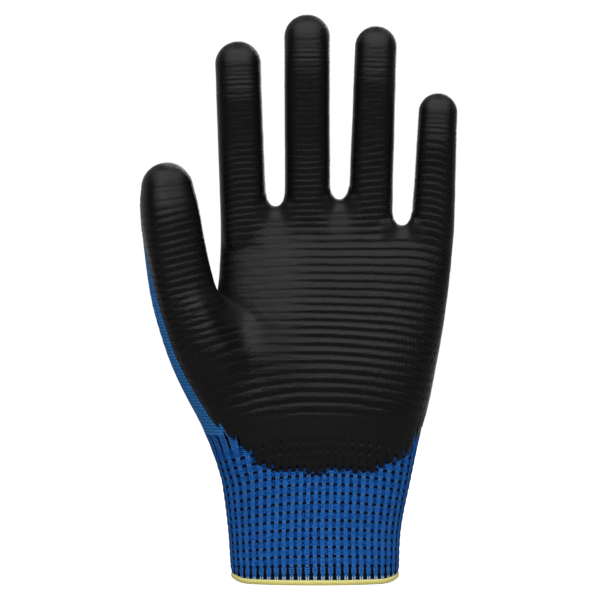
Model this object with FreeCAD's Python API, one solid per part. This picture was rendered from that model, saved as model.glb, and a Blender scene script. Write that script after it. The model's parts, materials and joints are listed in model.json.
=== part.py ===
import FreeCAD, Part
import math
import os

from FreeCAD import Vector

# A left-hand cut resistant glove for carving. A seamless knitted liner is dipped on the palm
# side in black film. The liner runs on into an elastic cuff with an overlocked hem.
#
# Frame: millimetres. The origin is the middle of the wrist opening, in the plane of the hem.
# +Z runs up the fingers, the palm faces -Y and the thumb points to -X and up.
#
# The glove has the shape of the hand that fills it. Every stall, which is a finger or the
# thumb, is cut into stiff tubes that meet at flex rings. A flex ring is the short stretch
# of the glove that wrinkles on the palm side when the finger in it bends.

# ---------------------------------------------------------------- driving dimensions
KNIT_WALL = 1.5           # thickness of the knitted liner
FILM_WALL = 0.7           # thickness of the dipped film
CUFF_TOP = 64.0           # height where the cuff meets the hand
HEM_HEIGHT = 3.4          # overlocked edge, along Z
HEM_PROUD = 0.45          # how far the overlock stands out of the knit, on both faces
HEM_TUCK = 0.35           # how far its lower and upper rims are drawn in
HEM_ROUNDING = 0.25       # share of its height over which each rim is drawn in

ELASTIC_ROWS = 8          # elastic yarns laid in the cuff
ELASTIC_FIRST = 8.0       # height of the lowest one
ELASTIC_SIZE = 0.8        # one elastic yarn, along Z and into the knit

# The hand without its thumb, as level sections: height, left and right edge, middle in Y,
# half the depth, and how square the outline is, where 2 is an ellipse.
HAND_SECTIONS = [
    (0.0, -36.3, 36.3, 0.0, 18.6, 2.2),
    (22.0, -37.7, 37.2, 0.0, 19.0, 2.2),
    (44.0, -40.4, 40.9, -0.3, 20.0, 2.3),
    (66.0, -44.4, 45.2, -1.2, 20.4, 2.4),
    (88.0, -45.4, 49.9, -1.8, 19.2, 2.6),
    (110.0, -43.6, 54.1, -1.6, 16.4, 2.7),
    (132.0, -41.3, 57.4, -0.8, 12.9, 2.9),
    (154.0, -39.6, 59.4, 0.0, 9.7, 3.2),
    (176.0, -38.8, 59.4, 0.0, 8.5, 3.4),
]
SECTION_POINTS = 24       # points round each section
LOFT_DEGREE = 3

# The ball of the thumb, as round sections square to its own axis: middle, tilt away from
# upright in degrees, and radius. It runs on into the thumb's stall.
THUMB_BALL = [
    ((-27.5, -3.0, 57.0), 25.0, 13.0),
    ((-37.9, -6.0, 81.5), 26.0, 16.2),
    ((-46.1, -9.5, 98.8), 25.0, 16.4),
    ((-52.6, -11.2, 113.4), 19.0, 15.0),
]
THUMB_BALL_TUCK = 0.1     # how far its end lies inside the thumb's stall
THUMB_BALL_REACH = 6.65   # how far its end reaches up the thumb's stall

# The knit changes above the thumb's crotch: one tube goes round the palm and the thumb's ball,
# and another round the four knuckles.
KNUCKLES_FROM = 130.0
KNUCKLES_LEFT = -43.0     # between the hand and the thumb at that height

# Stalls, from the thumb's side outwards: name, axis at the root and at the centre of the
# round tip (X, Y, Z), and the radius at the root and at the tip.
FINGERS = [
    ("index", (-31.0, 0.0, 160.0), (-33.2, -3.4, 223.6), 9.3, 9.25),
    ("middle", (-3.2, 0.0, 160.0), (-3.4, -4.0, 235.1), 9.1, 9.25),
    ("ring", (24.0, 0.0, 160.0), (26.3, -3.8, 231.0), 8.85, 8.4),
    ("little", (51.3, 0.0, 153.0), (53.5, -2.8, 202.7), 8.6, 7.7),
]
THUMB = ("thumb", (-57.4, -12.0, 126.0), (-63.8, -15.4, 170.3), 13.3, 10.9)
THUMB_TURN_DEG = 20.0     # how far the thumb's pad turns from facing -Y towards the fingers
ROOT_DEPTH = 14.0         # how far the root of a stall reaches down into the hand
ROOT_TUCK = 2.6           # how much slimmer its lower end is, to run out inside the hand
WEBS = [161.7, 164.8, 153.5]    # height of the knit in the crotches between the fingers
SADDLE_TUCK = 0.4         # how much slimmer a web is than the fingers beside it

# Where the stalls bend, and how far: degrees backwards and towards the palm.
FINGER_BENDS = {"proximal": (15.0, 70.0), "middle": (0.0, 80.0), "distal": (0.0, 38.0)}
THUMB_BENDS = {"proximal": (10.0, 40.0), "distal": (0.0, 50.0)}
BEND_OVER_WEB = 10.0      # the first bend of a finger stands this far above its webs
MIDDLE_BEND_SHARE = 0.38  # place of the other bends between the first one and the tip
DISTAL_BEND_SHARE = 0.70
THUMB_FIRST_BEND = 9.0    # the thumb's first bend, along its axis from the root
THUMB_BEND_SHARE = 0.45
FLEX_HALF_GAP = 0.75      # half the length of a flex ring on its hinge axis
FLEX_SLACK_DEG = 1.5      # room past the full bend

# The film wraps the pad's side and the flanks of a stall, and all of its tip.
FINGER_FILM_BACK = 0.35   # how far behind the axis it ends, as a share of the root's radius
THUMB_FILM_BACK = 0.6
FILM_TIP_BACK = 13.0      # length of the wrapped tip, measured in the middle of its back

# The film's edge on the hand in front view: from the thumb's back down its ball, round the
# heel of the hand and up to the little finger's side.
FILM_EDGE = [
    (-74.6, 148.0), (-70.4, 130.5), (-66.5, 113.2), (-60.0, 95.9), (-50.1, 78.6), (-42.0, 66.6),
    (-23.8, 53.0), (-10.8, 48.6), (12.0, 47.8), (28.0, 50.4), (38.6, 55.4), (44.5, 64.0),
]
FILM_HAND_BACK = 3.0      # how far behind the middle plane the film reaches on the hand

# Cutting tools reach past what they cut: across and through a stall as shares of its root's
# radius, and FAR past the whole glove.
ACROSS_REACH = 1.35
THROUGH_REACH = 1.5
FAR = 300.0
SLIVER = 0.5              # volume of a solid that is too small to be a piece


# ---------------------------------------------------------------- helpers
def closed_curve(points):
    curve = Part.BSplineCurve()
    curve.interpolate(Points=points, PeriodicFlag=True)
    return Part.Wire([curve.toShape()])


def level_section(height, left, right, middle_y, half_depth, squareness, grow):
    """A closed level outline, a superellipse, grown outwards by grow."""
    half_x = (right - left) / 2 + grow
    half_y = half_depth + grow
    middle = Vector((right + left) / 2, middle_y, height)
    points = []
    for i in range(SECTION_POINTS):
        turn = 2 * math.pi * i / SECTION_POINTS
        across = abs(math.cos(turn)) ** squareness
        deep = abs(math.sin(turn)) ** squareness
        size = (across + deep) ** (-1 / squareness)
        points.append(middle + Vector(half_x * size * math.cos(turn), half_y * size * math.sin(turn), 0))
    return closed_curve(points)


def round_section(middle, axis, radius):
    """A circle square to an axis that runs up."""
    side = Vector(0, 1, 0).cross(axis).normalize()
    back = axis.cross(side)
    points = []
    for i in range(SECTION_POINTS):
        turn = 2 * math.pi * i / SECTION_POINTS
        points.append(middle + side * (radius * math.cos(turn)) + back * (radius * math.sin(turn)))
    return closed_curve(points)


def hand_trunk(grow):
    """The hand and cuff without any stall."""
    sections = [level_section(*row, grow) for row in HAND_SECTIONS]
    return Part.makeLoft(sections, True, False, False, LOFT_DEGREE)


def slab(low, high):
    """All space between two heights."""
    return Part.makeBox(2 * FAR, 2 * FAR, high - low, Vector(-FAR, -FAR, low))


class Stall:
    """A finger or the thumb. In its own frame +Z runs up the stall and -Y is its pad's side."""

    def __init__(self, name, root, tip, root_radius, tip_radius, film_back, turn_deg=0.0):
        self.name = name
        self.film_back = film_back * root_radius
        self.root_radius = root_radius
        self.tip_radius = tip_radius
        root = Vector(*root)
        self.up = Vector(*tip) - root
        self.length = self.up.Length
        self.up.normalize()
        turn = math.radians(turn_deg)
        side = Vector(math.cos(turn), math.sin(turn), 0)
        self.side = (side - self.up * side.dot(self.up)).normalize()
        back = self.up.cross(self.side)
        self.placement = FreeCAD.Placement(root, FreeCAD.Rotation(self.side, back, self.up, "ZXY"))

    def set_bends(self, ranges, heights):
        """The bends from the root up, each with its range and its height along the axis."""
        self.ranges = ranges
        self.bends = dict(zip(ranges, heights))

    def place(self, shape):
        """A shape drawn in the stall's own frame, put where the stall is."""
        shape.Placement = self.placement.multiply(shape.Placement)
        return shape

    def point(self, height):
        """A point on the axis."""
        return self.placement.multVec(Vector(0, 0, height))

    def height_at(self, level):
        """The height along the axis that lies at a level above the hem."""
        return (level - self.point(0).z) / self.up.z

    def radius(self, height):
        return self.root_radius + (self.tip_radius - self.root_radius) * height / self.length

    def solid(self, grow):
        """The closed stall from its root up, grown outwards by grow: a long cone with a round tip."""
        low = self.root_radius + grow
        high = self.tip_radius + grow
        diagonal = high * math.sqrt(0.5)
        profile = Part.Wire([
            Part.makeLine(Vector(0, 0, 0), Vector(low, 0, 0)),
            Part.makeLine(Vector(low, 0, 0), Vector(high, 0, self.length)),
            Part.Arc(
                Vector(high, 0, self.length),
                Vector(diagonal, 0, self.length + diagonal),
                Vector(0, 0, self.length + high)).toShape(),
            Part.makeLine(Vector(0, 0, self.length + high), Vector(0, 0, 0)),
        ])
        return self.place(Part.Face(profile).revolve(Vector(0, 0, 0), Vector(0, 0, 1), 360))

    def stub(self, grow):
        """The open root of the stall, from inside the hand to beyond its first bend."""
        top = THROUGH_REACH * self.root_radius + next(iter(self.bends.values()))
        low = self.root_radius + grow
        outline = [
            (0, -ROOT_DEPTH), (low - ROOT_TUCK, -ROOT_DEPTH), (low, 0),
            (self.radius(top) + grow, top), (0, top), (0, -ROOT_DEPTH),
        ]
        profile = Part.makePolygon([Vector(x, 0, z) for x, z in outline])
        return self.place(Part.Face(profile).revolve(Vector(0, 0, 0), Vector(0, 0, 1), 360))

    def side_prism(self, outline):
        """A side-view outline, (Y, Z) points in the stall's frame, pushed across the stall."""
        half = ACROSS_REACH * self.root_radius
        corners = [Vector(-half, y, z) for y, z in outline]
        face = Part.Face(Part.makePolygon(corners + corners[:1]))
        return self.place(face.extrude(Vector(2 * half, 0, 0)))

    def rims(self, bend):
        """The lower and upper rim planes of a flex ring in side view, pad to back."""
        height = self.bends[bend]
        back_deg, pad_deg = self.ranges[bend]
        reach = THROUGH_REACH * self.root_radius
        pad = FLEX_HALF_GAP + reach * math.tan(math.radians((pad_deg + FLEX_SLACK_DEG) / 2))
        back = FLEX_HALF_GAP + reach * math.tan(math.radians(back_deg / 2))
        lower = [(-reach, height - pad), (0, height - FLEX_HALF_GAP), (reach, height - back)]
        upper = [(-reach, height + pad), (0, height + FLEX_HALF_GAP), (reach, height + back)]
        return lower, upper

    def flex_zone(self, bend):
        """The space of a flex ring: a bow tie, wide on the side that closes up."""
        lower, upper = self.rims(bend)
        return self.side_prism(lower + upper[::-1])

    def beyond(self, bend):
        """All of the stall's space from a flex ring's lower rim up."""
        lower = self.rims(bend)[0]
        return self.side_prism(lower + [(lower[-1][0], FAR), (lower[0][0], FAR)])

    def segment_zone(self, bend):
        """The space of the stiff tube above a bend."""
        names = list(self.bends)
        after = names.index(bend) + 1
        upper = self.rims(bend)[1]
        top = [(upper[-1][0], FAR), (upper[0][0], FAR)]
        if after < len(names):
            top = self.rims(names[after])[0][::-1]
        return self.side_prism(upper + top)

    def film_zone(self):
        """Where the film lies on the stall. Its edge slants at 45 degrees onto the tip's back."""
        half = THROUGH_REACH * self.root_radius
        cap = self.length + self.tip_radius - FILM_TIP_BACK
        outline = [
            (-half, -ROOT_DEPTH), (self.film_back, -ROOT_DEPTH),
            (self.film_back, cap + self.film_back - self.tip_radius),
            (half, cap + half - self.tip_radius), (half, FAR), (-half, FAR),
        ]
        return self.side_prism(outline)


# ---------------------------------------------------------------- layout
def lay_out_stalls():
    """The four fingers and the thumb with their bends."""
    row = [Stall(*values, FINGER_FILM_BACK) for values in FINGERS]
    for i, stall in enumerate(row):
        web = max(WEBS[max(i - 1, 0):i + 1])
        first = stall.height_at(web + BEND_OVER_WEB)
        free = stall.length + stall.tip_radius - first
        stall.set_bends(
            FINGER_BENDS,
            (first, first + MIDDLE_BEND_SHARE * free, first + DISTAL_BEND_SHARE * free))
    single = Stall(*THUMB, THUMB_FILM_BACK, THUMB_TURN_DEG)
    free = single.length + single.tip_radius - THUMB_FIRST_BEND
    single.set_bends(THUMB_BENDS, (THUMB_FIRST_BEND, THUMB_FIRST_BEND + THUMB_BEND_SHARE * free))
    return row, single


fingers, thumb = lay_out_stalls()
stalls = fingers + [thumb]


# ---------------------------------------------------------------- closed forms
def cut_web(trunk, near, far, web, grow):
    """Cuts the crotch between two fingers: a saddle like the hole of a ring, open upwards."""
    level = web + (far.point(0).x - near.point(0).x) / 2 - (near.root_radius + far.root_radius) / 2
    a = near.point(near.height_at(level))
    b = far.point(far.height_at(level))
    tube = (near.root_radius + far.root_radius) / 2 - SADDLE_TUCK + grow
    half = (b.x - a.x) / 2
    centre = Vector((a.x + b.x) / 2, (a.y + b.y) / 2, level)
    drum = Part.makeCylinder(half, 2 * FAR, centre - Vector(0, FAR, 0), Vector(0, 1, 0))
    hollow = drum.cut(Part.makeTorus(half, tube, centre, Vector(0, 1, 0)))
    hollow = hollow.common(slab(level - FAR, level))
    above = Part.makeBox(2 * half, 2 * FAR, FAR, Vector(a.x, -FAR, level))
    return trunk.cut([hollow, above]), level


def thumb_ball(grow):
    """The ball of the thumb, from inside the hand into the thumb's stall."""
    rings = []
    for middle, tilt, radius in THUMB_BALL:
        lean = math.radians(tilt)
        axis = Vector(-math.sin(lean), 0, math.cos(lean))
        rings.append(round_section(Vector(*middle), axis, radius + grow))
    for height in (0.0, THUMB_BALL_REACH):
        radius = thumb.radius(height) - THUMB_BALL_TUCK + grow
        rings.append(round_section(thumb.point(height), thumb.up, radius))
    return Part.makeLoft(rings, True, False, False, LOFT_DEGREE)


def closed_hand(grow):
    """The hand with the ball of its thumb and the roots of its stalls, grown by grow."""
    palm = hand_trunk(grow).fuse(thumb_ball(grow))
    levels = []
    for near, far, web in zip(fingers, fingers[1:], WEBS):
        palm, level = cut_web(palm, near, far, web, grow)
        levels.append(level)
    first = fingers[0].point(0).x
    last = fingers[-1].point(0).x
    palm = palm.cut([
        Part.makeBox(FAR, 2 * FAR, FAR, Vector(first - FAR, -FAR, levels[0])),
        Part.makeBox(FAR, 2 * FAR, FAR, Vector(last, -FAR, levels[-1])),
    ])
    return palm.fuse([stall.stub(grow) for stall in stalls])


def hand_film_zone():
    """Where the film lies on the hand: above its edge, and in front of the hand's back."""
    points = [Vector(x, -FAR, z) for x, z in FILM_EDGE]
    points = [Vector(-FAR, -FAR, points[0].z)] + points + [Vector(FAR, -FAR, points[-1].z)]
    points += [Vector(FAR, -FAR, FAR), Vector(-FAR, -FAR, FAR)]
    front_view = Part.Face(Part.makePolygon(points + points[:1])).extrude(Vector(0, 2 * FAR, 0))

    on_thumb = thumb.placement.multVec(Vector(0, thumb.film_back, 0))
    slope = thumb.side.y / thumb.side.x
    corner = Vector(on_thumb.x + (FILM_HAND_BACK - on_thumb.y) / slope, FILM_HAND_BACK, 0)
    points = [
        corner, Vector(-FAR, corner.y - slope * (corner.x + FAR), 0), Vector(-FAR, -FAR, 0),
        Vector(FAR, -FAR, 0), Vector(FAR, corner.y, 0),
    ]
    plan_view = Part.Face(Part.makePolygon(points + points[:1])).extrude(Vector(0, 0, FAR))
    return front_view.common(plan_view)


# ---------------------------------------------------------------- pieces
def save(name, shape):
    """Writes one piece, without the slivers that a cut can leave."""
    solids = [solid for solid in shape.Solids if solid.Volume > SLIVER]
    piece = solids[0] if len(solids) == 1 else Part.makeCompound(solids)
    piece.exportStep(os.path.join("parts", name + ".step"))
    print(name, len(solids), round(piece.Volume, 1))


def without_stalls(shape):
    return shape.cut([stall.beyond("proximal") for stall in stalls])


def make_hem():
    """The overlocked edge: a band round the knit, standing out of both of its faces."""
    low, high = HAND_SECTIONS[:2]
    rim = HEM_PROUD - HEM_TUCK
    rows = [(0.0, rim), (HEM_ROUNDING, HEM_PROUD), (1 - HEM_ROUNDING, HEM_PROUD), (1.0, rim)]

    def lofted(face):
        wires = []
        for share, proud in rows:
            height = share * HEM_HEIGHT
            mix = height / high[0]
            values = [a + (b - a) * mix for a, b in zip(low[1:], high[1:])]
            wires.append(level_section(height, *values, face(proud)))
        return Part.makeLoft(wires, True, True)

    return lofted(lambda proud: proud).cut(lofted(lambda proud: -KNIT_WALL - proud))


def make_elastic():
    """The elastic yarns, let into the inner face of the cuff."""
    layer = hand_trunk(ELASTIC_SIZE - KNIT_WALL).cut(hand_trunk(-KNIT_WALL))
    pitch = (CUFF_TOP - 2 * ELASTIC_FIRST) / (ELASTIC_ROWS - 1)
    rows = [ELASTIC_FIRST + pitch * i for i in range(ELASTIC_ROWS)]
    return layer.common([slab(low, low + ELASTIC_SIZE) for low in rows])


def make_hand():
    """Hem, cuff, elastic yarns, and the knit and film of the hand up to the first bends."""
    inside, knit, outside = (closed_hand(grow) for grow in (-KNIT_WALL, 0, FILM_WALL))
    shell = knit.cut(inside)
    liner = without_stalls(shell.common(slab(CUFF_TOP, FAR)))
    knuckles = Part.makeBox(FAR, 2 * FAR, FAR, Vector(KNUCKLES_LEFT, -FAR, KNUCKLES_FROM))
    elastic = make_elastic()
    save("hem", make_hem())
    save("cuff", shell.common(slab(HEM_HEIGHT, CUFF_TOP)).cut(elastic))
    save("cuff_elastic", elastic)
    save("palm_liner", liner.cut(knuckles))
    save("knuckle_liner", liner.common(knuckles))
    save("palm_film", without_stalls(outside.cut(knit).common(hand_film_zone())))


def make_stall(stall):
    """The flex rings of one stall, and the knit and film of its stiff tubes."""
    knit = stall.solid(0)
    liner = knit.cut(stall.solid(-KNIT_WALL))
    film = stall.solid(FILM_WALL).cut(knit).common(stall.film_zone())
    for bend in stall.bends:
        flex = stall.flex_zone(bend)
        tube = stall.segment_zone(bend)
        name = stall.name + "_" + bend
        save(name + "_flex", liner.common(flex).fuse(film.common(flex)))
        save(name + "_liner", liner.common(tube))
        save(name + "_film", film.common(tube))


os.makedirs("parts", exist_ok=True)
make_hand()
for stall in stalls:
    make_stall(stall)
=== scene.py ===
import json
import math
from functools import partialmethod

import bpy
import numpy as np
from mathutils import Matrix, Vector


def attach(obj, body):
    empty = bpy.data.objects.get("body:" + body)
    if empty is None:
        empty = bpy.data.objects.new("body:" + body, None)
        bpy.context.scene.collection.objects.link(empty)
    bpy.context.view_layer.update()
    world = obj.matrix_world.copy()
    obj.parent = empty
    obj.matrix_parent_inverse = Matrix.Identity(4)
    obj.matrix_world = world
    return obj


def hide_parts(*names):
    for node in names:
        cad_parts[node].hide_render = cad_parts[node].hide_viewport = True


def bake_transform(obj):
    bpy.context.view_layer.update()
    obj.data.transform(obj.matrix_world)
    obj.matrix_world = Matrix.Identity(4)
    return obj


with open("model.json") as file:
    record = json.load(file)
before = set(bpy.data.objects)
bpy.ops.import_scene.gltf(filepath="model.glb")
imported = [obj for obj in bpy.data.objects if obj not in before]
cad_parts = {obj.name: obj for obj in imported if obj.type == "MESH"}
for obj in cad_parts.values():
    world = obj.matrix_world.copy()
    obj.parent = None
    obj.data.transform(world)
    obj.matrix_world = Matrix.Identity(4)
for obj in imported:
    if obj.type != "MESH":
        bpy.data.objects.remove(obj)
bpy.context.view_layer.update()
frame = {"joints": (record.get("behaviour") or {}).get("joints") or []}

# A knitted glove with a ribbed dipped palm. Its skin is worked out as a smooth closed form in
# millimetres, from sections and stalls that lie close to those of the CAD solids, and meshed
# here. Every piece then goes to the frame in metres.
MM = 0.001

# ---- the form, in millimetres
KNIT_WALL = 1.5
FILM_WALL = 0.7
FILM_EDGE_WALL = 0.3  # the film is thinner at its edge, and thickens over this width
FILM_FEATHER = 2.2
EDGE_TUCK = 0.25  # how far the edge turns down into the knit
ON_EDGE = 0.01  # points this near to the edge are on it
KNIT_UNDER_FILM = 1.5  # how far the knit goes on under the film
KNIT_OVER_CUFF = 0.4  # and over the top of the cuff
CUFF_TOP = 64.0

HEM_SHOWN = 2.2  # the cuff's knit hides the top of the band
HEM_PROUD = 0.45
HEM_SIDES = 20  # points round the band
HEM_SQUARE = 0.55  # how square the band is, 1 being round
WRAP_DEPTH = 0.06  # how far the yarn sinks between its wraps
HEM_TURN = 7.6  # how far in from each side the hem starts to rise
HEM_LIFT = 1.8
HEM_NARROW = 0.4

ELASTIC_ROWS = 8
ELASTIC_FIRST = 8.0
ELASTIC_SIZE = 0.8
ELASTIC_SUNK = 0.2  # how deep a yarn's middle lies in the knit's inner face
YARN_SIDES = 8  # points round one yarn

# The hand without its thumb, from the hem up in even steps: middle in X and half the width,
# middle in Y and half the depth, and how square the outline is.
SECTION_STEP = 22.0
SECTIONS = np.array([
    (0.0, 36.3, 0.0, 18.6, 2.2),
    (-0.25, 37.45, 0.0, 19.0, 2.2),
    (0.45, 40.95, -0.3, 20.0, 2.3),
    (0.6, 45.4, -1.2, 20.4, 2.4),
    (2.65, 48.05, -1.8, 19.2, 2.6),
    (5.55, 49.15, -1.6, 16.4, 2.7),
    (8.35, 49.25, -0.8, 12.6, 2.9),
    (9.7, 49.6, 0.0, 8.4, 3.0),
    (9.75, 49.65, 0.0, 4.6, 3.2),
])

# The thumb with its ball: X, Y, Z of its axis and its radius.
THUMB_LINE = np.array([
    (-27.5, -3.0, 57.0, 13.0),
    (-37.9, -6.0, 81.5, 16.2),
    (-46.1, -9.5, 98.8, 16.4),
    (-52.6, -11.2, 113.4, 15.0),
    (-57.4, -12.0, 126.0, 13.3),
    (-61.0, -13.7, 146.0, 12.35),
    (-62.6, -14.8, 160.2, 11.75),
    (-63.2, -15.3, 169.6, 10.4),
])
THUMB_SAMPLES = 25
# How softly the thumb runs into the hand at its ball, below its crotch and in it, and the
# heights between which that changes.
THUMB_FILLETS = (7.0, 11.0, 3.0)
THUMB_CHANGES = ((88, 102), (112, 125))
THUMB_SQUARES = (112, 130)  # heights between which it goes from round to a stall's outline

# Stalls: name, axis at the root and at the centre of the round tip, radius at both, and how
# far behind the axis the film ends. Then the share of its length that the stall runs on into
# the hand, and how much it thins on the way, so that it ends flush.
STALLS = [
    ("index", (-31.0, 0.0, 160.0), (-33.2, -3.4, 223.6), 9.3, 9.25, 3.2, 0.2, 0.0),
    ("middle", (-3.2, 0.0, 160.0), (-3.4, -4.0, 235.1), 9.1, 9.25, 3.2, 0.2, 0.0),
    ("ring", (24.0, 0.0, 160.0), (26.3, -3.8, 231.0), 8.85, 8.4, 3.1, 0.2, 0.0),
    ("little", (50.95, 0.0, 153.0), (53.75, -2.8, 202.7), 8.6, 7.75, 3.0, 0.32, 1.1),
    ("thumb", (-57.4, -12.0, 126.0), (-63.8, -15.4, 170.3), 13.3, 10.9, 8.0, 0.2, 0.0),
]
WEBS = (161.7, 164.8, 153.5)  # height of the crotches between the fingers
WEB_ROUND = 5.0  # how round the hand's upper edge is between the fingers
WEB_SLOPE = 0.97  # below 1, so that a web's sides don't stand upright
FILLET = 3.8  # how softly the fingers run into the hand at their webs
CREASE = 0.7  # and away from them
FRONT_SQUARE = 2.8  # a stall's outline to the front, 2 being round
BACK_SQUARE = 2.2
TIP_LEAN = 2.4  # how far a fingertip's pad leans back
NEAR_STALL = 4.0  # points this near to a stall belong to it
FINGER_BEND_REACH = (7.8, 10.0, 9.3)  # half the length that bends at each joint
THUMB_BEND_REACH = (7.5, 11.0)
ZONE_GAP = 0.4  # left between two such lengths

# The film's edge on the hand in front view, as X and Z.
FILM_EDGE = np.array([
    (-76.5, 168.0), (-73.2, 148.0), (-69.0, 130.5), (-64.4, 113.2), (-58.2, 95.9),
    (-49.1, 78.6), (-42.0, 66.6), (-23.8, 53.0), (-10.8, 48.6), (12.0, 47.8), (28.0, 50.4),
    (38.6, 55.4), (44.5, 64.0), (60.0, 92.0),
])
# Its teeth between the cuff's columns at the heel, its fine saw edge above, and the heights
# over which the one turns into the other.
TOOTH_DEPTH = 2.7
SAW_DEPTH = 0.5
SAW_PITCH = 2.6
TEETH = (84, 60)
# The ribs of the film: valleys number up from 0 at RIB_START on the crown of the arches, and
# grow further apart below RIB_WIDEN. Each finger has its own finer ribs.
RIB_START = 146.5
RIB_PITCH = 3.37
RIB_WIDEN = 113.0
RIB_GROWTH = 0.0252
FINGER_RIBS_FROM = 153.6
FINGER_RIBS = (2.72, 2.56, 2.8, 2.9)
# How far a rib falls towards the thumb, by height.
RIB_FALL = np.array([(78.0, 5.0), (92.0, 3.0), (103.0, 0.2), (113.0, 0.4), (126.0, 2.0)])

RIB_DEPTH = 0.42
RIB_FOOT = 0.30  # where a rib starts above a valley, as a share of its pitch
FACE_END = 0.43  # where its flat face ends, and then the step back over it
STEP_END = 0.60

FILM_HAND_BACK = 3.0  # how far to the back the film reaches on the hand
FILM_CROTCH_LESS = 7.5  # how much less far below the thumb's crotch
FILM_TIP_BACK = 13.0  # length of film on a stall's back
HEEL = (76.0, 70.0)  # heights over which the film turns matte and shows the waffle below it
# The fold that runs from the thumb's crotch into the palm, and the corner that it starts in,
# as X and Z.
FOLD = np.array([(-44.0, 129.0), (-38.0, 123.0), (-28.0, 116.5), (-20.0, 109.0)])
FOLD_DEPTH = 0.15
THUMB_CORNER = ((-43.0, 126.5), (-34.5, 115.5))
# Wrinkles of a fingertip: how far below the tip's middle, half their width, and their depth.
WRINKLES = ((9.5, 0.7, 1.0), (7.2, 0.6, 0.8), (5.2, 0.6, 0.6))
WRINKLE_DEPTH = 0.11

CUFF_COLUMNS = 54  # waffle columns round the cuff
COLUMN_POINTS = 9  # points to a column, and rings of them up the cuff
CUFF_RINGS = 150
CUFF_STRETCH = 0.27  # how much more the columns widen at the cuff's sides, higher up
CUFF_ROW = 3.86  # height of one waffle row
ROW_START = 1.14
ROW_DROOP = 5.6  # how far the rows sink towards the cuff's sides
WAFFLE_END = (59, 61)  # heights over which the waffle ends
# Heights over which the ladder's gaps close over the hem, and open and close above the cuff.
LADDER_LOW = (8.3, 7.8)
LADDER_OPENS = (63.5, 64.5)
LADDER_CLOSES = (73.5, 72.0)
COLUMN_HEIGHT = 0.28  # how far the columns stand out of the valleys
ROW_SWELL = 0.10  # how much they swell in each row
DENT_DEPTH = 0.35  # dents and ladder gaps in the valleys
LADDER_DEPTH = 0.4
STITCH_WALE = 1.75  # one plain knit stitch, across and along
STITCH_COURSE = 1.35


# ---- small maths
def smoothstep(x, low, high):
    t = np.clip((x - low) / (high - low), 0, 1)
    return t * t * (3 - 2 * t)


def mix(a, b, t):
    return a + (b - a) * t


def bump(x, width):
    """1 at 0, falling smoothly to 0 at width."""
    return smoothstep(np.abs(x), width, 0)


def catmull(rows, t):
    """A smooth run through rows of numbers, at row number t."""
    last = len(rows) - 1
    i = np.clip(np.floor(t).astype(int), 0, last - 1)
    f = (t - i)[:, None]
    b, c = rows[i], rows[i + 1]
    a = np.where((i == 0)[:, None], 2 * b - c, rows[np.clip(i - 1, 0, last)])
    d = np.where((i == last - 1)[:, None], 2 * c - b, rows[np.clip(i + 2, 0, last)])
    return b + 0.5 * f * (c - a + f * (2 * a - 5 * b + 4 * c - d + f * (3 * (b - c) + d - a)))


def smooth_min(a, b, size):
    """The lesser of both, with their crease filled."""
    near = np.maximum(size - np.abs(a - b), 0) / size
    return np.minimum(a, b) - near * near * size / 4


def unit(v):
    return v / np.linalg.norm(v)


def noise(p, scale, seed):
    """Smooth value noise between -1 and 1 from a few turned waves."""
    rng = np.random.RandomState(seed)
    total = np.zeros(len(p))
    for _ in range(7):
        way = rng.normal(size=3)
        total += np.sin(p @ (way * (2.0 / scale)) + rng.uniform(0, 6.28))
    return total / 3.5


# ---- stalls
class Stall:
    """A finger or the thumb. In its own frame X runs along its hinges, Y to its back, Z up."""

    def __init__(self, name, root, tip, root_radius, tip_radius, film_back, run, taper):
        hinges = [j for j in frame["joints"] if j["name"].startswith(name + "_")]
        hinges.sort(key=lambda j: j["pos_m"][2])
        self.root = np.array(root)
        self.up = unit(np.array(tip) - self.root)
        self.length = np.linalg.norm(np.array(tip) - self.root)
        side = unit(np.array(hinges[0]["axis"], float))
        self.turn = np.stack([side, np.cross(self.up, side), self.up], 1)
        self.root_radius = root_radius
        self.tip_radius = tip_radius
        self.film_back = film_back
        self.run = run
        self.taper = taper
        self.names = [j["name"][:-len("_bend")] for j in hinges]
        bends = [float((np.array(j["pos_m"]) / MM - self.root) @ self.up) for j in hinges]
        self.zones = self.bend_zones(bends)
        # heights where one piece ends and the next begins
        self.cuts = [(a[1] + b[0]) / 2 for a, b in zip(self.zones, self.zones[1:])]
        self.cuts.insert(0, self.zones[0][0])

    @staticmethod
    def bend_zones(bends):
        """Start and end height of the bending stretch at each bend."""
        reach = FINGER_BEND_REACH if len(bends) == 3 else THUMB_BEND_REACH
        zones = [[height - half, height + half] for height, half in zip(bends, reach)]
        for low, high in zip(zones, zones[1:]):
            if low[1] > high[0] - ZONE_GAP:
                meet = (low[1] + high[0]) / 2
                low[1], high[0] = meet - ZONE_GAP / 2, meet + ZONE_GAP / 2
        return zones

    def local(self, p):
        return (p - self.root) @ self.turn

    def point(self, height):
        return self.root + self.up * height

    def distance(self, p):
        """Distance to the stall, negative inside."""
        q = self.local(p)
        t = np.clip(q[:, 2] / self.length, -self.run, 1)
        back = q[:, 1] - self.lean(q[:, 1], q[:, 2])
        radius = mix(self.root_radius, self.tip_radius, t)
        radius -= self.taper * smoothstep(-t, 0, self.run)
        return self.round_off(q[:, 0], back, q[:, 2] - t * self.length) - radius

    def lean(self, back, height):
        """How far the pad of the tip leans back. The tip's back keeps its place."""
        top = smoothstep(height, self.length - 17, self.length + 9)
        return TIP_LEAN * top * smoothstep(back, 2, -3)

    @staticmethod
    def round_off(across, back, along):
        """Size of an outline that is flatter to the front than a circle, domed at its end."""
        n = mix(FRONT_SQUARE, BACK_SQUARE, smoothstep(back, -3, 3))
        flat = (np.abs(across) ** n + np.abs(back) ** n + 1e-9) ** (1 / n)
        return np.hypot(flat, along)


stalls = [Stall(*row) for row in STALLS]
fingers = stalls[:4]
thumb = stalls[4]
stall_of = {name: stall for stall in stalls for name in stall.names}


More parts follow.
